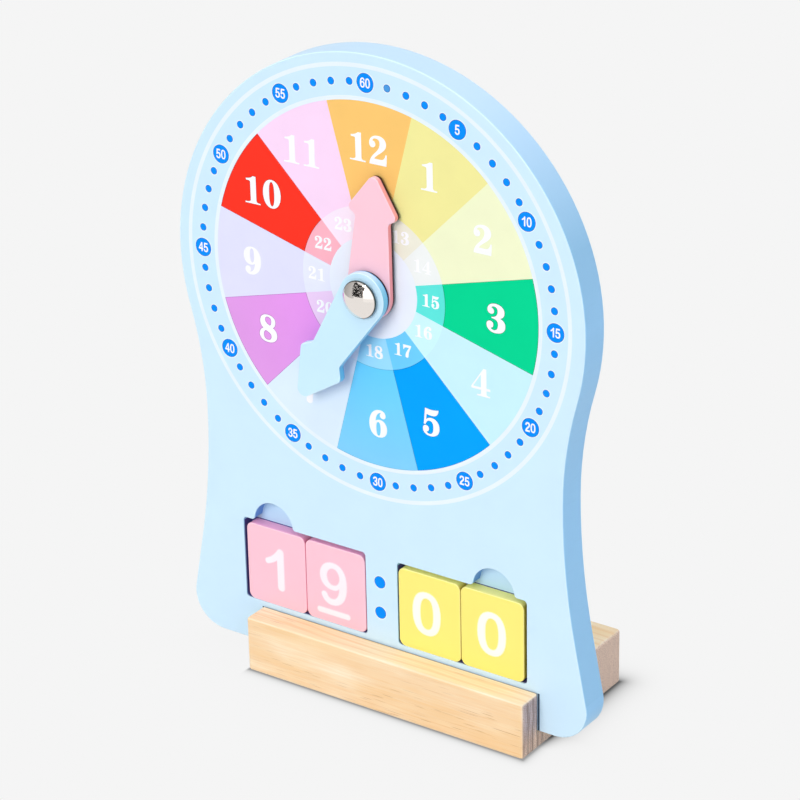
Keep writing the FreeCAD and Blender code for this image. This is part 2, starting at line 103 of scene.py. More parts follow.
# Plain numerals of one stroke width with round ends, in the same units. Six is nine turned
# upside down.
ROUND_DIGITS = {
    "0": """M 35 100 C 57 100 69 82 69 50 C 69 18 57 0 35 0 C 12 0 0 18 0 50
        C 0 82 12 100 35 100 Z
        M 35 86 C 46 86 51 74 51 50 C 51 26 46 14 35 14 C 24 14 19 26 19 50
        C 19 74 24 86 35 86 Z""",
    "1": """M 49 9 L 49 90 C 49 96 45 100 40 100 C 37 100 34 98 32 95
        C 25 84 15 76 4 71 C 0 69 -1 65 1 61 C 3 58 6 57 10 59
        C 18 62 25 66 31 71 L 31 9 C 31 3 35 0 40 0 C 45 0 49 3 49 9 Z""",
    "2": """M 2 74 C 2 90 15 101 34 101 C 53 101 66 89 66 72 C 66 60 60 51 48 41
        C 38 32 30 26 26 18 L 58 18 C 63 18 66 14 66 9 C 66 3 63 0 58 0 L 9 0
        C 3 0 0 4 1 9 C 4 29 18 40 32 52 C 42 60 47 65 47 72
        C 47 79 42 84 34 84 C 26 84 22 80 20 73 C 18 68 15 66 11 66
        C 6 66 2 69 2 74 Z""",
    "3": """M 4 78 C 7 92 18 101 34 101 C 53 101 65 90 65 75 C 65 65 60 57 51 53
        C 62 49 68 40 68 29 C 68 11 54 0 34 0 C 17 0 5 8 1 22
        C 0 29 4 32 9 32 C 14 32 17 29 19 24 C 21 18 26 15 34 15
        C 43 15 49 21 49 29 C 49 38 43 43 33 43 C 27 43 24 46 24 51
        C 24 56 27 59 33 59 C 42 59 47 65 47 73 C 47 80 42 85 34 85
        C 28 85 24 82 22 76 C 20 71 17 69 12 69 C 7 69 3 73 4 78 Z""",
    "4": """M 41 96 C 43 99 46 101 50 101 C 56 101 59 97 59 92 L 59 39 L 64 39
        C 69 39 71 36 71 31 C 71 26 69 23 64 23 L 59 23 L 59 9
        C 59 3 56 0 50 0 C 44 0 41 3 41 9 L 41 23 L 9 23
        C 3 23 0 26 0 31 C 0 34 1 36 3 39 Z
        M 41 72 L 41 39 L 18 39 Z""",
    "5": """M 14 100 L 56 100 C 61 100 63 97 63 92 C 63 87 61 84 56 84 L 26 84 L 24 62
        C 28 65 33 66 38 66 C 56 66 68 53 68 34 C 68 13 54 0 33 0
        C 17 0 5 8 1 21 C 0 27 4 30 9 30 C 14 30 16 28 19 23
        C 21 18 26 15 33 15 C 43 15 49 22 49 33 C 49 44 43 51 34 51
        C 29 51 25 49 22 46 C 19 43 16 42 12 42 C 7 42 4 46 5 51 L 8 93
        C 9 98 11 100 14 100 Z""",
    "9": """M 49 43 C 45 38 39 36 32 36 C 13 36 0 48 0 67 C 0 87 14 101 34 101
        C 56 101 69 83 69 54 C 69 20 54 0 29 0 C 17 0 8 7 4 17
        C 1 23 4 29 10 29 C 14 29 16 27 18 24 C 20 18 24 15 30 15
        C 41 15 48 25 49 43 Z
        M 34 87 C 25 87 18 78 18 67 C 18 56 25 48 34 48 C 43 48 50 56 50 67
        C 50 78 43 87 34 87 Z""",
}

UNITS = 100  # units in a numeral's height
CURVE_STEPS = 8  # straight pieces that stand for one curve of a numeral
SERIF_ADVANCE = 82  # from one serif numeral to the next
ROUND_ADVANCE = 76  # from one plain numeral to the next


def outlines(path):
    """The closed outlines of a path: M starts one, L is a line, C a curve and Z the end."""
    words = path.split()
    loops = []
    place = 0
    while place < len(words):
        letter = words[place]
        count = {"M": 2, "L": 2, "C": 6, "Z": 0}[letter]
        numbers = [float(word) for word in words[place + 1:place + 1 + count]]
        spots = [Vector(pair) for pair in zip(numbers[::2], numbers[1::2])]
        place += 1 + count
        if letter == "M":
            loops.append(spots)
        elif letter == "L":
            loops[-1] += spots
        elif letter == "C":
            start = loops[-1][-1]
            curve = interpolate_bezier(start.to_3d(), *[spot.to_3d() for spot in spots], CURVE_STEPS + 1)
            loops[-1] += [spot.to_2d() for spot in curve[1:]]
        elif (loops[-1][0] - loops[-1][-1]).length < 0.01:
            loops[-1].pop()
    return loops


def turned(loops):
    """A numeral's outlines turned upside down in its own box."""
    width = max(spot.x for spot in loops[0])
    return [[Vector((width - spot.x, UNITS - spot.y)) for spot in loop] for loop in loops]


def digit(face, letter):
    """A digit's outlines in one of the two styles."""
    flip = {"6": "9", "9": "6"}
    if letter in face:
        return outlines(face[letter])
    return turned(outlines(face[flip[letter]]))


def number(face, advance, text, height, centre, narrow=1.0):
    """A number's outlines, one list per digit, with the middle of its box at centre."""
    scale = height / UNITS
    shapes = []
    for index, letter in enumerate(text):
        loops = digit(face, letter)
        width = max(spot.x for spot in loops[0])
        start = index * advance + (advance - width) / 2
        shapes.append([[Vector((spot.x + start, spot.y)) for spot in loop] for loop in loops])
    left = min(spot.x for loops in shapes for spot in loops[0])
    right = max(spot.x for loops in shapes for spot in loops[0])
    middle_spot = Vector(((left + right) / 2, UNITS / 2))
    stretch = Vector((scale * narrow, scale))
    return [
        [[(spot - middle_spot) * stretch + Vector(centre) for spot in loop] for loop in loops]
        for loops in shapes
    ]


def arc(radius, start, end, steps, centre=(0, 0)):
    """Spots on an arc, its angles in degrees clockwise from the top."""
    spots = []
    for step in range(steps + 1):
        angle = math.radians(start + (end - start) * step / steps)
        spots.append(Vector(centre) + radius * Vector((math.sin(angle), math.cos(angle))))
    return spots


def disc(radius, centre=(0, 0), steps=48):
    """A disc's one outline."""
    return [arc(radius, 0, 360, steps, centre)[:-1]]


def ring(outer, inner, steps=180):
    """A ring's outline and hole."""
    return disc(outer, steps=steps) + disc(inner, steps=steps)


def sector(inner, outer, start, end, steps=24):
    """A piece of a ring between two angles."""
    return [arc(outer, start, end, steps) + arc(inner, end, start, steps)]


def leftwards(loop):
    """The outline, ordered so that its inside is on the left."""
    area = sum(a.x * b.y - b.x * a.y for a, b in zip(loop, loop[1:] + loop[:1]))
    return loop if area > 0 else loop[::-1]


def grown(loops, by):
    """The outlines moved outwards by a distance, and their holes inwards."""
    result = []
    for index, loop in enumerate(leftwards(loop) for loop in loops):
        side = by if index else -by
        moved = []
        for before, spot, after in zip(loop[-1:] + loop, loop, loop[1:] + loop[:1]):
            along = ((spot - before).normalized() + (after - spot).normalized()).normalized()
            moved.append(spot + side * Vector((-along.y, along.x)))
        result.append(moved)
    return result


def triangles(loops):
    """The flat triangles between an outline and its holes."""
    loops = [leftwards(loop) for loop in loops]
    spots = [spot for loop in loops for spot in loop]
    faces = []
    for loop in loops:
        start = sum(len(face) for face in faces)
        faces.append(list(range(start, start + len(loop))))
    found, _, cells, _, _, sources = delaunay_2d_cdt(spots, [], faces, 1, 1e-6)
    kept = [cell for cell, source in zip(cells, sources) if set(source) == {0}]
    return found, kept


INK_DEPTH = 0.02  # the lowest layer of ink above the face, in millimetres
INK_LAYER = 0.02  # each layer above it
INK_ROOT = 0.01  # how far ink reaches into the face


def printed(name, shapes, material, layer=0, body="board", face=FACE, place=DIAL):
    """Flat shapes of ink as thin closed solids on a front face. Shapes are in millimetres."""
    front = face - (INK_DEPTH + layer * INK_LAYER) * MM
    back = face + INK_ROOT * MM
    mesh = bmesh.new()
    for loops in shapes:
        found, cells = triangles(loops)
        corners = [
            [
                mesh.verts.new((place.x + spot.x * MM, depth, place.z + spot.y * MM))
                for spot in found
            ]
            for depth in (front, back)
        ]
        edge_uses = {}
        for cell in cells:
            mesh.faces.new([corners[0][index] for index in cell])
            mesh.faces.new([corners[1][index] for index in reversed(cell)])
            for start, end in zip(cell, cell[1:] + cell[:1]):
                edge_uses.setdefault(frozenset((start, end)), []).append((start, end))
        for uses in edge_uses.values():
            if len(uses) == 1:
                start, end = uses[0]
                wall = (corners[0][end], corners[0][start], corners[1][start], corners[1][end])
                mesh.faces.new(wall)
    bmesh.ops.delete(mesh, geom=[vert for vert in mesh.verts if not vert.link_faces], context="VERTS")
    bmesh.ops.recalc_face_normals(mesh, faces=mesh.faces)
    data = bpy.data.meshes.new(name)
    mesh.to_mesh(data)
    mesh.free()
    piece = bpy.data.objects.new(name, data)
    bpy.context.scene.collection.objects.link(piece)
    data.materials.append(material)
    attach(piece, body)
    return piece


# ---------------------------------------------------------------- materials
RIM_SHADE_WIDTH = 0.00025  # the width of the painted shade at the edge of the domed head, in metres
RIM_SHADE_CODE = "3C4648"
PAINT_SPECULAR = 0.25
PAINT_ROUGHNESS = 0.42
PAINT_RELIEF = 0.000015  # in metres, as all relief is
PATCH_SHADE = 0.975  # the darker patches on painted faces
STROKE_SHADE = 0.9  # the darker strokes on painted ends, and how much they show
STROKE_SHARE = 0.25
LEANING_SHADE = 0.82  # painted shade on ends where they begin to turn upwards
RIM_HIGHLIGHT_SHARE = 0.55  # how strong the painted highlight along sharp edges is
HUB_MARGIN = 0.0007  # how far the painted shade under a hand's hub stays inside the hub
HUB_SHADE = 0.09  # how bright that painted shade is, as a share of the paint on the hand's ends
BACK_SHADE_FULL = 0.85  # the share of a back edge's depth where its painted shade is full
POCKET_RIM = 0.0004  # how deep the windows' rims keep their paint's own tone
POCKET_DEPTH = 0.006  # deeper than any window
POCKET_GAP = 0.0009  # the most play beside or below a tile
POCKET_TOP_GAP = 0.00015
POCKET_EDGE = 0.0012  # how far the painted shade reaches over a window's floor, under the tiles
# the painted shade on the windows' walls and floor edges
POCKET_SHADE_CODE = "5A5698"
NOTCH_PLACE = (0.0502, 0.0597)  # the middle of a finger notch, its X to either side and its Z
NOTCH_REACH = 0.0095  # a little more than a notch's radius
# painted shade in the finger notches, for their floors and for their walls
NOTCH_FLOOR_SHADE_CODE = "C4E6FB"
NOTCH_WALL_SHADE_CODE = "6C9EDC"
LIP_LINE = 0.00025  # half the width of the dark line where the lip meets the board
LIP_TOP_SHARE = 0.4  # how strong it is along the lip's top, where 1 is full
LIP_LINE_CODE = "16324E"
INK_SPECULAR = 0.04
INK_ROUGHNESS = 0.4
INK_RELIEF = 0.00002
FINE_GRAIN = (1600, 1600, 1600)  # of paint and ink, in bumps to a metre
HEART = (0.170, 0.004)  # the tree's heart beside the block, its Y and Z in metres
RING_SPACING = 0.0034  # between two year rings
RING_WARP = 0.006  # how far the rings wander
GROOVE_EDGE = 0.0009  # how far the painted shade inside the groove reaches past its edge
GROOVE_END_EDGE = 0.0007  # how much further it does on the block's ends
GROOVE_SHADE_SHARE = 0.85  # how much of the wood's own tone it covers
NYLON_CODE = "E6E6E2"
NYLON_ROUGHNESS = 0.45
NYLON_RELIEF = 0.00002
PINE_ROUGHNESS = 0.62
PINE_SPECULAR = 0.3
PINE_RELIEF = 0.00003
PINE = {
    "pale": "FFEFD2", "fibre": "FAD9AC", "warm": "F6CD90", "late_wood": "F0C083", "thread": "DDA468",
    # the pale tone for edges is a painted highlight along the block's rounded edges
    "duct": "B98350", "edge_highlight": "FFF2E0", "end": "FFE0C2", "grey_end": "D4C2BC", "ring": "6F5750",
    # the groove tone is painted shade
    "streak": "7A615E", "speck": "A06E52", "groove": "3A3440",
}


def colour(code, shade=1.0):
    """A colour written as six hexadecimal digits, as the shader's linear values."""
    values = [int(code[index:index + 2], 16) / 255 for index in (0, 2, 4)]
    linear = [((v + 0.055) / 1.055) ** 2.4 if v > 0.04045 else v / 12.92 for v in values]
    return (*[shade * value for value in linear], 1.0)


class Nodes:
    """A node tree being built, with short ways to add and join nodes."""

    def __init__(self, tree):
        self.tree = tree
        self.coordinates = tree.nodes.new("ShaderNodeTexCoord")

    def node(self, kind, inputs=None, **settings):
        """A new node. Inputs are values, or another node's output to join."""
        made = self.tree.nodes.new("ShaderNode" + kind)
        for key, value in settings.items():
            setattr(made, key, value)
        for key, value in (inputs or {}).items():
            if isinstance(value, bpy.types.NodeSocket):
                self.tree.links.new(value, made.inputs[key])
            else:
                made.inputs[key].default_value = value
        return made

    def stretched(self, scale):
        """The object's own coordinates, in metres, with each axis scaled."""
        mapping = self.node("Mapping", {"Vector": self.coordinates.outputs["Object"], "Scale": scale})
        return mapping.outputs["Vector"]

    def noise(self, scale, detail=3.0, roughness=0.5):
        """Soft noise. Scale is how many times it repeats in a metre along each axis."""
        made = self.node(
            "TexNoise",
            {"Vector": self.stretched(scale), "Scale": 1.0, "Detail": detail, "Roughness": roughness},
        )
        return made.outputs["Fac"]

    def spread(self, value, low, high, new_low, new_high):
        """A value carried from one range to another, held at its ends."""
        made = self.node(
            "MapRange",
            {"Value": value, "From Min": low, "From Max": high, "To Min": new_low, "To Max": new_high},
        )
        return made.outputs["Result"]

    def dashes(self, scale, size):
        """Short separate dashes. Scale is how many cells there are in a metre along each axis."""
        cells = self.node("TexVoronoi", {"Vector": self.stretched(scale), "Scale": 1.0})
        return self.spread(cells.outputs["Distance"], size * 0.6, size, 1.0, 0.0)

    def mix(self, factor, first, second, blend="MIX"):
        """Two colours mixed."""
        made = self.node("MixRGB", {"Fac": factor, "Color1": first, "Color2": second}, blend_type=blend)
        return made.outputs["Color"]

    def math(self, operation, *values):
        """A number worked out from one or two others."""
        made = self.node("Math", dict(enumerate(values)), operation=operation)
        return made.outputs["Value"]

    def axes(self, source="Object"):
        """X, Y and Z of the object's own coordinates in metres, or of another set by its name."""
        return self.node("SeparateXYZ", {"Vector": self.coordinates.outputs[source]}).outputs

    def product(self, first, *others):
        """Several numbers multiplied."""
        for other in others:
            first = self.math("MULTIPLY", first, other)
        return first

    def length(self, *sides):
        """The length of a line, from how far it goes along each axis."""
        squares = [self.math("MULTIPLY", side, side) for side in sides]
        total = squares[0]
        for square in squares[1:]:
            total = self.math("ADD", total, square)
        return self.math("SQRT", total)


class Shader(Nodes):
    """A material being built."""

    def __init__(self, name):
        self.material = bpy.data.materials.new(name)
        self.material.use_nodes = True
        super().__init__(self.material.node_tree)
        self.surface = self.tree.nodes["Principled BSDF"]

    def set(self, **inputs):
        """Sets or joins the surface's own inputs."""
        for key, value in inputs.items():
            socket = self.surface.inputs[key.replace("_", " ")]
            if isinstance(value, bpy.types.NodeSocket):
                self.tree.links.new(value, socket)
            else:
                socket.default_value = value

    def bump(self, height, distance):
        """Relief, its distance in metres."""
        made = self.node("Bump", {"Height": height, "Distance": distance})
        self.set(Normal=made.outputs["Normal"])


def rounded(shader, sharp, flat):
    """Where the surface turns from one flat side into another, from 0 to 1."""
    normal = shader.axes("Normal")
    sides = [shader.math("ABSOLUTE", normal[axis]) for axis in "XYZ"]
    squarest = shader.math("MAXIMUM", shader.math("MAXIMUM", sides[0], sides[1]), sides[2])
    return shader.spread(squarest, sharp, flat, 1.0, 0.0)


def under_tiles(shader, place, first, second):
    """Where a window's floor lies well under its two tiles, from 0 to 1."""
    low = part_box(first)[0]
    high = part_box(second)[1]
    shares = []
    for axis, start, end in (("X", low.x, high.x), ("Z", low.z, high.z)):
        from_middle = shader.math("SUBTRACT", place[axis], (start + end) / 2)
        reach = (end - start) / 2 - POCKET_EDGE
        shares.append(
            shader.spread(shader.math("ABSOLUTE", from_middle), reach - POCKET_EDGE, reach, 1.0, 0.0)
        )
    return shader.product(*shares)


def sunk(shader, place):
    """Where the board's face is cut away, below the rims of its windows and notches, from 0 to 1."""
    deep = shader.spread(place["Y"], FACE + POCKET_RIM, FACE + 2 * POCKET_RIM, 0.0, 1.0)
    return shader.product(deep, shader.math("LESS_THAN", place["Y"], FACE + POCKET_DEPTH))


def in_pockets(shader, place):
    """Where the windows' walls and the edges of their floors are, which get painted shade, from 0 to 1."""
    low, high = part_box("tile_hour_tens")
    below = shader.math("LESS_THAN", place["Z"], high.z + POCKET_TOP_GAP)
    above = shader.math("GREATER_THAN", place["Z"], low.z - POCKET_GAP)
    sideways = shader.math("ABSOLUTE", place["X"])
    within = shader.math("LESS_THAN", sideways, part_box("tile_minute_units")[1].x + 2 * POCKET_GAP)
    found = shader.product(sunk(shader, place), below, above, within)
    for pair in (("tile_hour_tens", "tile_hour_units"), ("tile_minute_tens", "tile_minute_units")):
        found = shader.math("SUBTRACT", found, under_tiles(shader, place, *pair))
    return shader.math("MAXIMUM", found, 0.0)


def notched(shader, place, normal, paint):
    """The paint, with painted shade inside the finger notches: bluer, pale on their floors and deeper on
    their walls.
    """
    across = shader.math("SUBTRACT", shader.math("ABSOLUTE", place["X"]), NOTCH_PLACE[0])
    above = shader.math("SUBTRACT", place["Z"], NOTCH_PLACE[1])
    near = shader.math("LESS_THAN", shader.length(across, above), NOTCH_REACH)
    is_wall = shader.spread(normal["Y"], -0.95, -0.7, 0.0, 1.0)
    inside = shader.mix(is_wall, colour(NOTCH_FLOOR_SHADE_CODE), colour(NOTCH_WALL_SHADE_CODE))
    return shader.mix(shader.product(near, sunk(shader, place)), paint, inside)


def lip_lined(shader, place, paint):
    """The paint, with a dark line like a contact shadow where the block's lip meets the board."""
    low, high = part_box("base_block")
    from_middle = shader.math("ABSOLUTE", shader.math("SUBTRACT", place["X"], (low.x + high.x) / 2))
    sideways = shader.math("SUBTRACT", from_middle, (high.x - low.x) / 2)
    upwards = shader.math("SUBTRACT", place["Z"], high.z - 2 * LIP_LINE)
    on_face = shader.math("LESS_THAN", place["Y"], FACE + LIP_LINE)
    for off_edge, along_edge, share in ((sideways, upwards, 1.0), (upwards, sideways, LIP_TOP_SHARE)):
        distance = shader.math("MAXIMUM", shader.math("ABSOLUTE", off_edge), along_edge)
        line = shader.spread(distance, LIP_LINE, 1.5 * LIP_LINE, share, 0.0)
        paint = shader.mix(shader.product(line, on_face), paint, colour(LIP_LINE_CODE))
    return paint


def back_edged(shader, place, paint, node, code, depth):
    """The paint, with painted shade over the back and the last of a node's thickness."""
    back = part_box(node)[1].y
    at_back = shader.spread(place["Y"], back - depth, back - BACK_SHADE_FULL * depth, 0.0, 1.0)
    return shader.mix(at_back, paint, colour(code))


def hub_shaded(shader, place, paint, node, code):
    """The paint, with painted shade where the hub of a hand in front lies over it at every pose."""
    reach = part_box(node)[1].z - PIVOT.z - HUB_MARGIN
    across = [shader.math("SUBTRACT", place[axis], PIVOT["XYZ".index(axis)]) for axis in "XZ"]
    covered = shader.spread(shader.length(*across), reach, reach + 0.5 * HUB_MARGIN, 1.0, 0.0)
    return shader.mix(covered, paint, colour(code, HUB_SHADE))


def painted_wood(name, face_code, end_grain_and_shade_code, rim_highlight_code, top_lighting_code=None, back=None, hub=None, pockets=False):
    """Satin paint. Its deeper tone on the sawn ends to left and right is partly the end grain's own
    and partly painted shade of those sides. Given a top tone, ends get more painted shade where they
    begin to turn upwards, and tops get a tone painted for how light falls on them. A painted
    highlight pales the paint along sharp edges.

    Back is a node whose back edge gets painted shade, that tone, and how far it reaches, in metres.
    Hub is the node of a hand in front, whose hub lays painted shade on this paint. With pockets, the
    board's windows have painted shade on their walls and floor edges, its notches have bluer painted
    shade, and a painted contact shadow lies along the block's lip. All of these are painted into the
    colour and not cast by lamps, so they stay when a piece moves away."""
    shader = Shader(name)
    place = shader.axes()
    normal = shader.axes("Normal")
    patches = shader.spread(shader.noise((55, 55, 55), 2.0), 0.3, 0.7, 0.0, 1.0)
    face = shader.mix(patches, colour(face_code), colour(face_code, PATCH_SHADE))
    # The deeper tone of the ends to left and right is partly the end grain's own and partly painted shade
    # of those sides.
    strokes = shader.spread(shader.noise((500, 90, 500), 3.0, 0.6), 0.56, 0.72, 0.0, 1.0)
    stroked = shader.product(strokes, STROKE_SHARE)
    end = shader.mix(stroked, colour(end_grain_and_shade_code), colour(end_grain_and_shade_code, STROKE_SHADE))
    is_end = shader.spread(shader.math("ABSOLUTE", normal["X"]), 0.35, 1.0, 0.0, 1.0)
    frontness = shader.math("ABSOLUTE", normal["Y"])
    # A painted highlight along sharp edges, where the surface turns from front to side.
    rising = shader.spread(frontness, 0.35, 0.7, 0.0, RIM_HIGHLIGHT_SHARE)
    falling = shader.spread(frontness, 0.9, 0.995, 1.0, 0.0)
    paint = shader.mix(is_end, face, end)
    if top_lighting_code:
        # Painted shade where ends begin to turn upwards, and a tone on tops painted for how light falls on
        # them.
        leaning = shader.spread(normal["Z"], 0.05, 0.35, 0.0, 1.0)
        paint = shader.mix(shader.product(leaning, is_end), paint, colour(end_grain_and_shade_code, LEANING_SHADE))
        is_top = shader.spread(normal["Z"], 0.35, 1.0, 0.0, 1.0)
        paint = shader.mix(is_top, paint, colour(top_lighting_code))
    paint = shader.mix(shader.product(rising, falling), paint, colour(rim_highlight_code))
    if back:
        paint = back_edged(shader, place, paint, *back)
    # Painted shade under the hub of the hand in front.
    if hub:
        paint = hub_shaded(shader, place, paint, hub, end_grain_and_shade_code)
    if pockets:
        paint = notched(shader, place, normal, paint)
        paint = lip_lined(shader, place, paint)
        # Painted shade on the windows' walls and floor edges.
        paint = shader.mix(in_pockets(shader, place), paint, colour(POCKET_SHADE_CODE))
    grain = shader.noise((400, 400, 400))
    patchy = shader.spread(grain, 0.3, 0.7, PAINT_ROUGHNESS - 0.04, PAINT_ROUGHNESS + 0.05)
    shader.set(Base_Color=paint, Roughness=patchy, Specular_IOR_Level=PAINT_SPECULAR)
    shader.bump(shader.noise(FINE_GRAIN, 2.0), PAINT_RELIEF)
    return shader.material


def ink(name, code, outer_code=None):
    """Print ink with a faint cloudiness, and where outer_code says so another tone far out."""
    shader = Shader(name)
    tone = colour(code)
    if outer_code:
        place = shader.coordinates.outputs["Object"]
        radius = shader.node("VectorMath", {0: place, 1: DIAL}, operation="DISTANCE").outputs["Value"]
        outward = shader.spread(radius, SECTOR_INNER * MM, SECTOR_OUTER * MM, 0.0, 1.0)
        tone = shader.mix(outward, tone, colour(outer_code))
    clouds = shader.spread(shader.noise((70, 70, 70), 3.0), 0.3, 0.7, 0.97, 1.0)
    cloudy = shader.mix(1.0, tone, clouds, "MULTIPLY")
    shader.set(Base_Color=cloudy, Roughness=INK_ROUGHNESS, Specular_IOR_Level=INK_SPECULAR)
    shader.bump(shader.noise(FINE_GRAIN, 2.0), INK_RELIEF)
    return shader.material


def pine_side(shader, late_wood):
    """The block's long sides, their grain running along it, and how high their fibres stand."""
    fibres = shader.spread(shader.noise((45, 1300, 1300), 4.0, 0.65), 0.3, 0.75, 0.0, 1.0)
    warmth = shader.spread(shader.noise((22, 90, 90), 2.0), 0.35, 0.65, 0.0, 1.0)
    crowd = shader.spread(shader.noise((16, 60, 60), 1.0), 0.40, 0.58, 0.1, 1.0)
    short_ducts = shader.dashes((60, 1500, 1500), 0.2)
    long_ducts = shader.dashes((22, 1100, 1100), 0.14)
    ducts = shader.product(shader.math("MAXIMUM", short_ducts, long_ducts), crowd)
    threads = shader.spread(shader.noise((28, 2300, 2300), 4.0, 0.7), 0.56, 0.66, 0.0, 1.0)
    side = shader.mix(fibres, colour(PINE["pale"]), colour(PINE["fibre"]))
    layers = (
        (shader.product(warmth, 0.5), "warm"),
        (shader.product(late_wood, 0.45), "late_wood"),
        (shader.product(threads, crowd, 0.45), "thread"),
        (shader.product(ducts, 0.62), "duct"),
        # A painted highlight along the block's rounded edges.
        (shader.product(rounded(shader, 0.8, 0.97), shader.spread(warmth, 0.0, 1.0, 0.45, 0.15)), "edge_highlight"),
    )
    for share, tone in layers:
        side = shader.mix(share, side, colour(PINE[tone]))
    return side, shader.math("SUBTRACT", fibres, ducts)


def pine_end(shader, place, reach, late_wood):
    """The block's end grain: sharply ringed on the lip and greyed in its upper part, partly the grain's
    own tone and partly painted shade and bluish light from the board; pale and faint behind it.
    """
    stretch = {"X": shader.product(reach, 1700.0), "Y": shader.product(place["Z"], 90.0)}
    growth = shader.node("CombineXYZ", stretch)
    streaks = shader.node("TexNoise", {"Vector": growth.outputs["Vector"], "Scale": 1.0, "Detail": 3.0})
    crushed = shader.spread(streaks.outputs["Fac"], 0.42, 0.66, 0.0, 1.0)
    speckle = shader.spread(shader.noise((300, 2200, 2200), 3.0, 0.7), 0.49, 0.60, 0.0, 1.0)
    behind = shader.spread(place["Y"], FACE, FACE + 0.006, 0.0, 1.0)
    upper = shader.spread(place["Z"], 0.005, 0.012, 0.0, 1.0)
    # The greyed upper part of the lip's end is partly the grain's tone and partly painted shade and bluish
    # light from the board.
    greyed = shader.product(upper, shader.math("SUBTRACT", 1.0, behind))
    end = shader.mix(greyed, colour(PINE["end"]), colour(PINE["grey_end"]))
    layers = (
        (shader.product(late_wood, shader.spread(behind, 0.0, 1.0, 0.5, 0.05)), "ring"),
        (shader.product(crushed, shader.spread(behind, 0.0, 1.0, 0.6, 0.08)), "streak"),
        (shader.product(speckle, 0.6), "speck"),
    )
    for share, tone in layers:
        end = shader.mix(share, end, colour(PINE[tone]))
    return end


def in_groove(shader, place, is_end):
    """Where the groove that holds the board is, with a narrow edge around it, from 0 to 1: where the wood
    gets painted shade.
    """
    low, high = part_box("clock_board")
    depth = shader.math("ADD", place["Y"], shader.product(is_end, GROOVE_END_EDGE))
    front = shader.spread(depth, FACE - GROOVE_EDGE, FACE - 0.5 * GROOVE_EDGE, 0.0, 1.0)
    back = shader.math("LESS_THAN", place["Y"], high.y + GROOVE_EDGE)
    above_floor = shader.math("GREATER_THAN", place["Z"], low.z - 0.1 * GROOVE_EDGE)
    return shader.product(front, back, above_floor)


def pine(name):
    """Bare sanded pine, with year rings around a heart beside the block."""
    shader = Shader(name)
    place = shader.axes()
    heart_y, heart_z = HEART
    across = shader.math("SUBTRACT", place["Y"], heart_y)
    above = shader.math("SUBTRACT", place["Z"], heart_z)
    reach = shader.length(across, above)
    warp = shader.spread(shader.noise((14, 60, 60), 3.0), 0.0, 1.0, 0.0, RING_WARP)
    rings = shader.product(shader.math("ADD", reach, warp), 2 * math.pi / RING_SPACING)
    late_wood = shader.spread(shader.math("SINE", rings), 0.1, 1.0, 0.0, 1.0)
    side, relief = pine_side(shader, late_wood)
    is_end = shader.spread(shader.math("ABSOLUTE", shader.axes("Normal")["X"]), 0.6, 0.9, 0.0, 1.0)
    wood = shader.mix(is_end, side, pine_end(shader, place, reach, late_wood))
    # Painted shade inside the groove and along its mouth.
    dark = shader.product(in_groove(shader, place, is_end), GROOVE_SHADE_SHARE)
    wood = shader.mix(dark, wood, colour(PINE["groove"]))
    shader.set(Base_Color=wood, Roughness=PINE_ROUGHNESS, Specular_IOR_Level=PINE_SPECULAR)
    shader.bump(relief, PINE_RELIEF)
    return shader.material


def metal(name, code, roughness, rim_shade_from=None):
    """Plated metal with faint marks of polishing, and painted shade beyond a radius from the pivot, at the
    dark rim of the domed head.
    """
    shader = Shader(name)
    marks = shader.noise((2500, 2500, 2500), 2.0)
    tone = colour(code)
    if rim_shade_from:
        place = shader.coordinates.outputs["Object"]
        flat = shader.node("VectorMath", {0: place, 1: (1, 0, 1)}, operation="MULTIPLY")
        axis = Vector((PIVOT.x, 0, PIVOT.z))
        radius = shader.node("VectorMath", {0: flat.outputs["Vector"], 1: axis}, operation="DISTANCE")
        # Painted shade at the rim of the domed head.
        rimward = shader.spread(radius.outputs["Value"], rim_shade_from, rim_shade_from + RIM_SHADE_WIDTH, 0.0, 1.0)
        tone = shader.mix(rimward, tone, colour(RIM_SHADE_CODE))
    shader.set(Base_Color=tone, Metallic=1.0)
    shader.set(Roughness=shader.spread(marks, 0.3, 0.7, roughness * 0.8, roughness * 1.3))
    return shader.material


def nylon(name):
    """Plain milky plastic."""
    shader = Shader(name)
    shader.set(Base_Color=colour(NYLON_CODE), Roughness=NYLON_ROUGHNESS)
    shader.bump(shader.noise((3000, 3000, 3000)), NYLON_RELIEF)
    return shader.material


DOME_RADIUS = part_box("pivot_screw")[1].x


def give(material, *nodes):
    """Gives CAD nodes their finish."""
    for node in nodes:
        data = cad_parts[node].data
        data.materials.clear()
        data.materials.append(material)


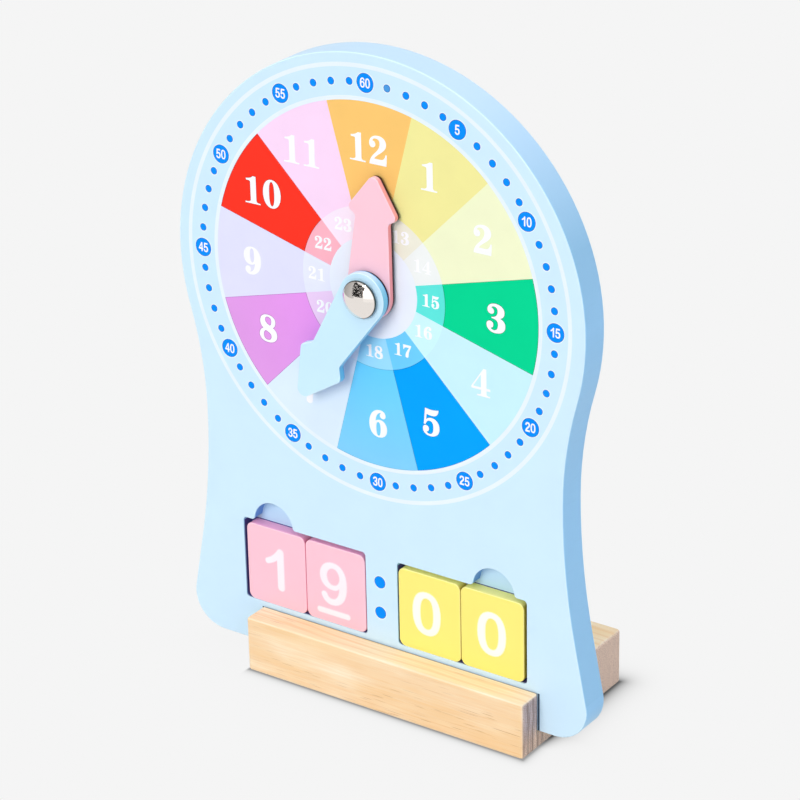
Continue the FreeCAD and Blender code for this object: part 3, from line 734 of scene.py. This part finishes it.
def finish_nodes():
    """Gives every CAD node its finish. Paints are told by their faces, ends, edges and tops."""
    board = painted_wood("board_paint", "D1EDFD", "A6DDFC", "E2FAFF", "C0DCF0", pockets=True)
    # Painted shade on the hands' back edges: near black on the pink hand for the shadow under its edge,
    # deeper blue on the blue hand.
    pink_back_shade = ("hour_hand", "341C1E", 0.0012)
    blue_back_shade = ("minute_hand", "5CB0E4", 0.0006)
    pink_hand = painted_wood(
        "pink_hand_paint", "FFCCD8", "FF9FA3", "FFE6EE", back=pink_back_shade, hub="minute_hand"
    )
    blue_hand = painted_wood("blue_hand_paint", "CCEEFF", "84CCEA", "F4FEFF", back=blue_back_shade)
    pink_tile = painted_wood("pink_tile_paint", "FFC8D5", "FF9CB8", "FFDCE6", "FFB2D2")
    yellow_tile = painted_wood("yellow_tile_paint", "FFF07C", "E2C940", "FFFAB4", "FFF692")
    give(board, "clock_board")
    give(pink_hand, "hour_hand")
    give(blue_hand, "minute_hand")
    give(pink_tile, "tile_hour_tens", "tile_hour_units")
    give(yellow_tile, "tile_minute_tens", "tile_minute_units")
    give(pine("bare_pine"), "base_block")
    give(metal("polished_nickel", "F0E9E3", 0.05, DOME_RADIUS - 1.7 * RIM_SHADE_WIDTH), "pivot_screw")
    give(metal("plated_steel", "B9B6B0", 0.28), "barrel_nut")
    give(nylon("nylon"), "board_washer", "hand_washer", "dome_washer")


finish_nodes()


# ---------------------------------------------------------------- the dial
SECTOR_OUTER = 70.4
SECTOR_INNER = 31.2
CENTRE_RADIUS = 19.2
INNER_RING_WIDTH = 1.6
OUTER_RING = (84.1, 82.5)
MINUTE_RADIUS = 77.3
DOT_RADIUS = 1.45
DOT_STEPS = 24  # straight pieces around a dot
NUMBER_DISC_RADIUS = 3.63
HUB_CLEAR = 5.4  # no print under the washer

SECTOR_COLOURS = {
    12: "FDCA72", 1: "F4ED9C", 2: "F4F8CD", 3: "00D893", 4: "CBF3FD", 5: "00A4FC",
    6: "6AD4FF", 7: "E0F1FF", 8: "EB99EE", 9: "E3E3FE", 10: "FF3624", 11: "FDDBF6",
}
OUTER_COLOURS = {6: "84D2FD", 8: "E39EE6"}  # these two sectors pale towards the rim
AFTERNOON_COLOURS = {
    12: "FDE3C0", 1: "EFEDDA", 2: "F1F4F0", 3: "60E8DC", 4: "CFF8FC", 5: "70D0FC",
    6: "9EE0FE", 7: "EBF3FE", 8: "F0D2F5", 9: "EAEDFD", 10: "FFB6C4", 11: "FCEAF9",
}
EDGE_SHADES = {3: 0.66, 5: 0.82, 6: 0.86, 8: 0.78, 10: 0.7}  # darker edges of the strong inks
WHITE_INK = "FDFDFF"
BLUE_INK = "0890FF"

# The middle of each hour's numeral, in millimetres from the middle of the dial.
HOUR_PLACES = {
    12: (-0.6, 53.1), 1: (25.2, 47.5), 2: (47.4, 28.5), 3: (52.7, -0.1), 4: (46.1, -26.1),
    5: (24.4, -47.1), 6: (0.8, -53.3), 7: (-30.0, -47.0), 8: (-48.3, -26.5), 9: (-54.4, -0.8),
    10: (-48.3, 27.4), 11: (-30.2, 46.7),
}
HOUR_HEIGHT = 10.7
AFTERNOON_RADIUS = 25.1
AFTERNOON_RISE = 0.4
AFTERNOON_HEIGHT = 4.85
HOUR_STEP = 30
MINUTE_STEP = 6
DISC_NUMBER_HEIGHT = 3.7
DISC_NUMBER_NARROW = 0.8
SHIFTED_DISCS = {60: (-1.25, 0.0), 5: (-1.25, 0.1), 10: (-1.3, 0.25)}
DISC_MINUTES = 5  # every so many minutes there is a numbered disc
BLUE_EDGE_SHADE = 0.72
EDGE_WIDTH = 0.2  # how wide the darker edge of a strong ink is
KEYLINE_WIDTH = 0.28  # the pale line around dots and strong sectors
FAINT_DOT = 1  # the minute whose dot is printed thin


def on_dial(radius, minutes):
    """A spot on the dial, in millimetres from its middle."""
    angle = math.radians(minutes * MINUTE_STEP)
    return radius * math.sin(angle), radius * math.cos(angle)


def hour_number(hour):
    """An hour's numeral, in its place."""
    return number(SERIF_DIGITS, SERIF_ADVANCE, str(hour), HOUR_HEIGHT, HOUR_PLACES[hour])


def afternoon_number(hour):
    """The numeral of the hour twelve hours later, in its place."""
    x, z = on_dial(AFTERNOON_RADIUS, hour * DISC_MINUTES)
    return number(SERIF_DIGITS, SERIF_ADVANCE, str(hour + NOON), AFTERNOON_HEIGHT, (x, z + AFTERNOON_RISE))


def shaded(code, shade):
    """A darker tone of a colour, written the same way."""
    return "".join(f"{round(int(code[index:index + 2], 16) * shade):02X}" for index in (0, 2, 4))


def edge_of(loops):
    """The narrow strip just inside an outline."""
    return loops[:1] + grown(loops[:1], -EDGE_WIDTH)


def make_sectors():
    """The twelve coloured sectors, the twelve paler ones inside them, and their numerals."""
    white = ink("white_ink", WHITE_INK)
    for hour, code in SECTOR_COLOURS.items():
        middle_angle = hour * HOUR_STEP
        start, end = middle_angle - HOUR_STEP / 2, middle_angle + HOUR_STEP / 2
        outer = sector(SECTOR_INNER, SECTOR_OUTER, start, end)
        inner = sector(CENTRE_RADIUS, SECTOR_INNER, start, end)
        printed(f"dial_sector_{hour}", [outer], ink(f"ink_{hour}", code, OUTER_COLOURS.get(hour)))
        inner_ink = ink(f"ink_{hour + NOON}", AFTERNOON_COLOURS[hour])
        printed(f"dial_sector_{hour + NOON}", [inner], inner_ink)
        if hour in EDGE_SHADES:
            around = [grown(loops, EDGE_WIDTH) for loops in hour_number(hour)]
            edge_ink = ink(f"edge_ink_{hour}", shaded(code, EDGE_SHADES[hour]))
            printed(f"dial_edge_{hour}", [edge_of(outer)] + around, edge_ink, 1)
    hours = [shape for hour in SECTOR_COLOURS for shape in hour_number(hour)]
    afternoon = [shape for hour in SECTOR_COLOURS for shape in afternoon_number(hour)]
    printed("hour_numerals", hours, white, 2)
    printed("afternoon_numerals", afternoon, white, 2)
    printed("dial_centre", [ring(CENTRE_RADIUS, HUB_CLEAR)], ink("centre_ink", "EDF3FD"))
    rings = [ring(SECTOR_OUTER + INNER_RING_WIDTH, SECTOR_OUTER), ring(*OUTER_RING)]
    printed("dial_white_rings", rings, ink("ring_ink", "EAF6FF"))


def print_dots(name, dots, fill):
    """Blue dots with a darker edge, each on a slightly larger pale one."""
    keyline = [grown(loops, KEYLINE_WIDTH) for loops in dots]
    printed(name + "_keyline", keyline, bpy.data.materials["keyline_ink"])
    printed(name + "_edge", dots, bpy.data.materials["blue_edge_ink"], 1)
    printed(name, [grown(loops, -EDGE_WIDTH) for loops in dots], fill, 2)


def make_minutes():
    """Sixty minutes: a dot for each, and every fifth a disc with its number."""
    blue = ink("blue_ink", BLUE_INK)
    ink("blue_edge_ink", shaded(BLUE_INK, BLUE_EDGE_SHADE))
    ink("keyline_ink", "EDFCFF")
    dots = []
    discs = []
    numbers = []
    for minute in range(1, 61):
        spot = Vector(on_dial(MINUTE_RADIUS, minute))
        if minute == FAINT_DOT:
            print_dots("faint_dot", [disc(DOT_RADIUS, spot, DOT_STEPS)], ink("faint_blue_ink", "4C9CE0"))
        elif minute % DISC_MINUTES:
            dots.append(disc(DOT_RADIUS, spot, DOT_STEPS))
        else:
            spot += Vector(SHIFTED_DISCS.get(minute, (0, 0)))
            discs.append(disc(NUMBER_DISC_RADIUS, spot))
            numbers += number(
                ROUND_DIGITS, ROUND_ADVANCE, str(minute), DISC_NUMBER_HEIGHT, spot, DISC_NUMBER_NARROW
            )
    print_dots("minute_dots", dots, blue)
    print_dots("minute_discs", discs, blue)
    printed("minute_numbers", numbers, bpy.data.materials["white_ink"], 3)


# ---------------------------------------------------------------- prints below the dial
COLON_RADIUS = 2.5
COLON_X = -0.7
COLON_HEIGHTS = (49.1, 36.2)
TILE_DIGIT_HEIGHT = 18.2
TILE_DIGITS = {
    "tile_hour_tens": ("1", (-0.9, -0.5), "pink_tile_paint"),
    "tile_hour_units": ("9", (-1.0, 0.4), "pink_tile_paint"),
    "tile_minute_tens": ("0", (-1.25, 0.1), "yellow_tile_paint"),
    "tile_minute_units": ("0", (-0.25, 0.1), "yellow_tile_paint"),
}
UNDERLINE = (-1.25, -11.9, 15.5, 2.45)  # middle x and z, length and width
SOFT_WIDTH = 0.16  # half the width of a tile digit's soft edge


def bar(x, z, length, width, steps=12):
    """A bar with round ends, lying along X."""
    half = (length - width) / 2
    right = arc(width / 2, 0, 180, steps, (x + half, z))
    left = arc(width / 2, 180, 360, steps, (x - half, z))
    return [right + left]


def make_colon():
    """The two dots between the hours and the minutes."""
    spots = [Vector((COLON_X, height)) - Vector((DIAL.x, DIAL.z)) / MM for height in COLON_HEIGHTS]
    print_dots("colon_dots", [disc(COLON_RADIUS, spot) for spot in spots], bpy.data.materials["blue_ink"])


def make_tile_digits():
    """A white digit on each tile, on a slightly larger one in a tone between white and the paint."""
    inks = {
        "pink_tile_paint": (ink("pink_soft_ink", "FFE0E8"), ink("pink_white_ink", "FFF3F7")),
        "yellow_tile_paint": (ink("yellow_soft_ink", "FFF9C4"), ink("yellow_white_ink", "FFFDF2")),
    }
    for tile, (text, centre, slot) in TILE_DIGITS.items():
        shapes = number(ROUND_DIGITS, ROUND_ADVANCE, text, TILE_DIGIT_HEIGHT, centre)
        if text == "9":
            shapes.append(bar(*UNDERLINE))
        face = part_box(tile)[0].y
        soft = [grown(loops, SOFT_WIDTH) for loops in shapes]
        inner = [grown(loops, -SOFT_WIDTH) for loops in shapes]
        soft_ink, white = inks[slot]
        printed(tile + "_digit_edge", soft, soft_ink, 0, tile, face, middle(tile))
        printed(tile + "_digit", inner, white, 1, tile, face, middle(tile))


make_sectors()
make_minutes()
make_colon()
make_tile_digits()


# ---------------------------------------------------------------- floor, light and camera
BACKGROUND = (0.913, 0.913, 0.913, 1.0)
BLACK = (0.0, 0.0, 0.0, 1.0)
ROOM_LIGHT = (0.24, 0.30, 0.37, 1.0)
RIGHT_LIGHT = (0.50, 0.56, 0.76, 1.0)  # what comes from the right is brighter and bluer
FLOOR_COLOUR = (0.64, 0.64, 0.64, 1.0)
# The block's own soft shadow: how far it reaches past its sides, in metres, in front of the
# board and behind it, and how dark it is there and at the block's back.
REACH_FRONT = 0.0013
REACH_BEHIND = 0.0035
SHADOW_FRONT = 0.62
SHADOW_BEHIND = 1.0
SHADOW_FAR = 0.85
SHADOW_TURN = 0.012  # how far back it is at its darkest
CLOSE_SHADE = 0.03  # the distance over which anything near the floor shades it
CLOSE_SHADE_TONE = 0.985
CLOSE_SHADE_RANGE = (0.3, 0.95)  # how open the floor is where that shade is full, and where none
FLOOR_SIZE = 12.0
FLOOR_ROUGHNESS = 0.9
RIGHT_RANGE = (0.2, 0.6)  # how far to the right the room's light starts and ends to change


def block_shadow(shader):
    """How bright the floor is beside the block, from 0 to 1. Its light comes from the front left."""
    place = shader.axes()
    low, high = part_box("base_block")
    outside = [
        shader.math("SUBTRACT", low.y, place["Y"]),
        shader.math("SUBTRACT", place["Y"], high.y),
        shader.math("SUBTRACT", low.x, place["X"]),
        shader.math("SUBTRACT", place["X"], high.x),
    ]
    away = shader.length(*[shader.math("MAXIMUM", distance, 0.0) for distance in outside])
    reach = shader.spread(place["Y"], 0.0, SHADOW_TURN, REACH_FRONT, REACH_BEHIND)
    fall = shader.math("EXPONENT", shader.product(shader.math("DIVIDE", away, reach), -1.0))
    near_front = shader.spread(place["X"], low.x - MM, low.x, 0.0, SHADOW_FRONT)
    depth = shader.spread(place["Y"], 0.0, SHADOW_TURN, near_front, SHADOW_BEHIND)
    fading = shader.spread(place["Y"], SHADOW_TURN, high.y, 1.0, SHADOW_FAR)
    return shader.math("SUBTRACT", 1.0, shader.product(depth, fading, fall))


def make_floor():
    """A pale floor. To the camera it glows evenly, less the block's worked-out shadow and a
    slight shade under anything close to it. The lamps cast no shadow that the camera sees."""
    bpy.ops.mesh.primitive_plane_add(size=FLOOR_SIZE)
    floor = bpy.context.object
    floor.name = "floor"
    shader = Shader("floor")
    shader.set(Base_Color=FLOOR_COLOUR, Roughness=FLOOR_ROUGHNESS)
    near = shader.node("AmbientOcclusion", {"Distance": CLOSE_SHADE}, samples=8).outputs["AO"]
    close = shader.spread(near, *CLOSE_SHADE_RANGE, CLOSE_SHADE_TONE, 1.0)
    shade = shader.product(block_shadow(shader), close)
    tone = shader.mix(shade, BLACK, BACKGROUND)
    glow = shader.node("Emission", {"Color": tone})
    path = shader.node("LightPath")
    seen = shader.math("MAXIMUM", path.outputs["Is Camera Ray"], path.outputs["Is Glossy Ray"])
    seen = shader.math("MAXIMUM", seen, path.outputs["Is Transmission Ray"])
    both = shader.node("MixShader", {"Fac": seen})
    shader.tree.links.new(shader.surface.outputs["BSDF"], both.inputs[1])
    shader.tree.links.new(glow.outputs["Emission"], both.inputs[2])
    output = shader.tree.nodes["Material Output"]
    shader.tree.links.new(both.outputs["Shader"], output.inputs["Surface"])
    floor.data.materials.append(shader.material)


# Studio cards that only gloss shows: how far off each is, in metres, how bright it is at 0 and at
# 1 of its pattern, and the directions of its corners from the pivot.
CARDS = {
    "small_card": (
        0.74, 0.05, 0.3,
        ((0.50, -0.86, -0.14), (0.63, -0.77, -0.14), (0.64, -0.77, -0.04), (0.51, -0.86, -0.03)),
    ),
    "dark_card": (
        0.77, 0.012, 0.9,
        ((-0.80, -0.60, -0.10), (-0.004, -1.0, -0.008), (0.03, -0.80, 0.60), (-0.84, -0.26, 0.48)),
    ),
    "bright_card": (
        0.80, 1.0, 1.3,
        ((0.03, -1.0, -0.60), (0.72, -0.69, -0.60), (0.75, -0.20, 0.60), (0.02, -0.55, 0.84)),
    ),
    "grey_card": (
        0.83, 0.4, 0.9,
        ((-1.0, 0.20, -0.50), (-0.60, -0.80, -0.17), (-0.55, -0.50, 0.75), (-1.0, 0.20, 0.60)),
    ),
}
CARD_EDGE = -0.03  # the height over the pivot where the bright card turns softer
SPECKLE_CELLS = (48, 48, 40)  # in a metre along each axis


def grey(level):
    """A neutral colour."""
    return (level, level, level, 1.0)


def speckled(shader):
    """Small blocks, a few of them 1 and most 0."""
    blocks = shader.node("TexVoronoi", {"Vector": shader.stretched(SPECKLE_CELLS), "Scale": 1.0})
    level = shader.node("SeparateXYZ", {"Vector": blocks.outputs["Color"]}).outputs["X"]
    return shader.spread(level, 0.8, 0.88, 0.0, 1.0)


def graded(shader, *ranges):
    """From 0 to 1 along an axis, or the most of several, each with the place and value at its ends."""
    place = shader.axes()
    shares = [shader.spread(place[axis], *ends) for axis, *ends in ranges]
    return shares[0] if len(shares) == 1 else shader.math("MAXIMUM", *shares)


def make_card(name, pattern, *details):
    """A flat card around the object, shining by itself and hidden from everything but gloss."""
    reach, first, second, corners = CARDS[name]
    shader = Shader(name)
    tone = shader.mix(pattern(shader, *details), grey(first), grey(second))
    glow = shader.node("Emission", {"Color": tone})
    shader.tree.links.new(glow.outputs["Emission"], shader.tree.nodes["Material Output"].inputs["Surface"])
    data = bpy.data.meshes.new(name)
    spots = [PIVOT + reach * Vector(corner).normalized() for corner in corners]
    data.from_pydata(spots, [], [range(len(spots))])
    data.materials.append(shader.material)
    card = bpy.data.objects.new(name, data)
    bpy.context.scene.collection.objects.link(card)
    card.visible_camera = False
    card.visible_diffuse = False
    card.visible_transmission = False
    card.visible_shadow = False


def make_cards():
    """All four cards. Two are speckled, and two change from one brightness to another."""
    edge = PIVOT.z + CARD_EDGE
    paler_ahead = ("Y", 0.0, -0.45, 0.0, 0.45)
    paler_below = ("Z", edge - 0.13, edge - 0.38, 0.0, 1.0)
    make_card("small_card", speckled)
    make_card("dark_card", speckled)
    make_card("bright_card", graded, ("Z", edge - 0.02, edge + 0.01, 0.0, 1.0))
    make_card("grey_card", graded, paler_ahead, paler_below)


def make_world():
    """Soft light from all round, bluer from the right, on a plain grey background."""
    world = bpy.data.worlds.new("studio")
    bpy.context.scene.world = world
    world.use_nodes = True
    nodes = Nodes(world.node_tree)
    rightness = nodes.spread(nodes.axes("Generated")["X"], *RIGHT_RANGE, 0.0, 1.0)
    light = nodes.mix(rightness, ROOM_LIGHT, RIGHT_LIGHT)
    path = nodes.node("LightPath").outputs
    seen = nodes.math("MAXIMUM", path["Is Camera Ray"], path["Is Glossy Ray"])
    shown = nodes.mix(seen, light, BACKGROUND)
    nodes.tree.links.new(shown, nodes.tree.nodes["Background"].inputs["Color"])


# Sun lamps: the direction that each shines along, its strength, its width in degrees and its tint.
SUNS = {
    "key": ((0.0, 0.90, -0.44), 1.58, 34, (1.0, 0.94, 0.88)),
    "top": ((0.0, 0.1, -1.0), 1.42, 50, (1.0, 0.96, 0.90)),
    "back": ((0.0, -0.5, -0.87), 0.45, 40, (1.0, 0.96, 0.90)),
}


def make_sun(name, towards, strength, angle, tint):
    """A sun lamp shining along a direction."""
    data = bpy.data.lights.new(name, "SUN")
    data.energy = strength
    data.color = tint
    data.angle = math.radians(angle)
    lamp = bpy.data.objects.new(name, data)
    lamp.rotation_mode = "QUATERNION"
    lamp.rotation_quaternion = Vector(towards).to_track_quat("-Z", "Y")
    bpy.context.scene.collection.objects.link(lamp)


CAMERA_PLACE = Vector((0.5950, -0.8305, 0.5857))
CAMERA_TARGET = Vector((0.0058, 0.0064, 0.1234))
CAMERA_ROLL = -1.23  # degrees
CAMERA_LENS = 137.98  # millimetres, on the usual 36 mm sensor


def make_camera():
    """The camera, turned a little about its own line of sight."""
    data = bpy.data.cameras.new("camera")
    data.lens = CAMERA_LENS
    camera = bpy.data.objects.new("camera", data)
    aim = (CAMERA_TARGET - CAMERA_PLACE).to_track_quat("-Z", "Y").to_matrix().to_4x4()
    roll = Matrix.Rotation(math.radians(CAMERA_ROLL), 4, "Z")
    camera.matrix_world = Matrix.Translation(CAMERA_PLACE) @ aim @ roll
    bpy.context.scene.collection.objects.link(camera)
    bpy.context.scene.camera = camera


make_floor()
make_world()
make_cards()
for lamp_name, settings in SUNS.items():
    make_sun(lamp_name, *settings)
make_camera()
bpy.context.scene.view_settings.view_transform = "Standard"
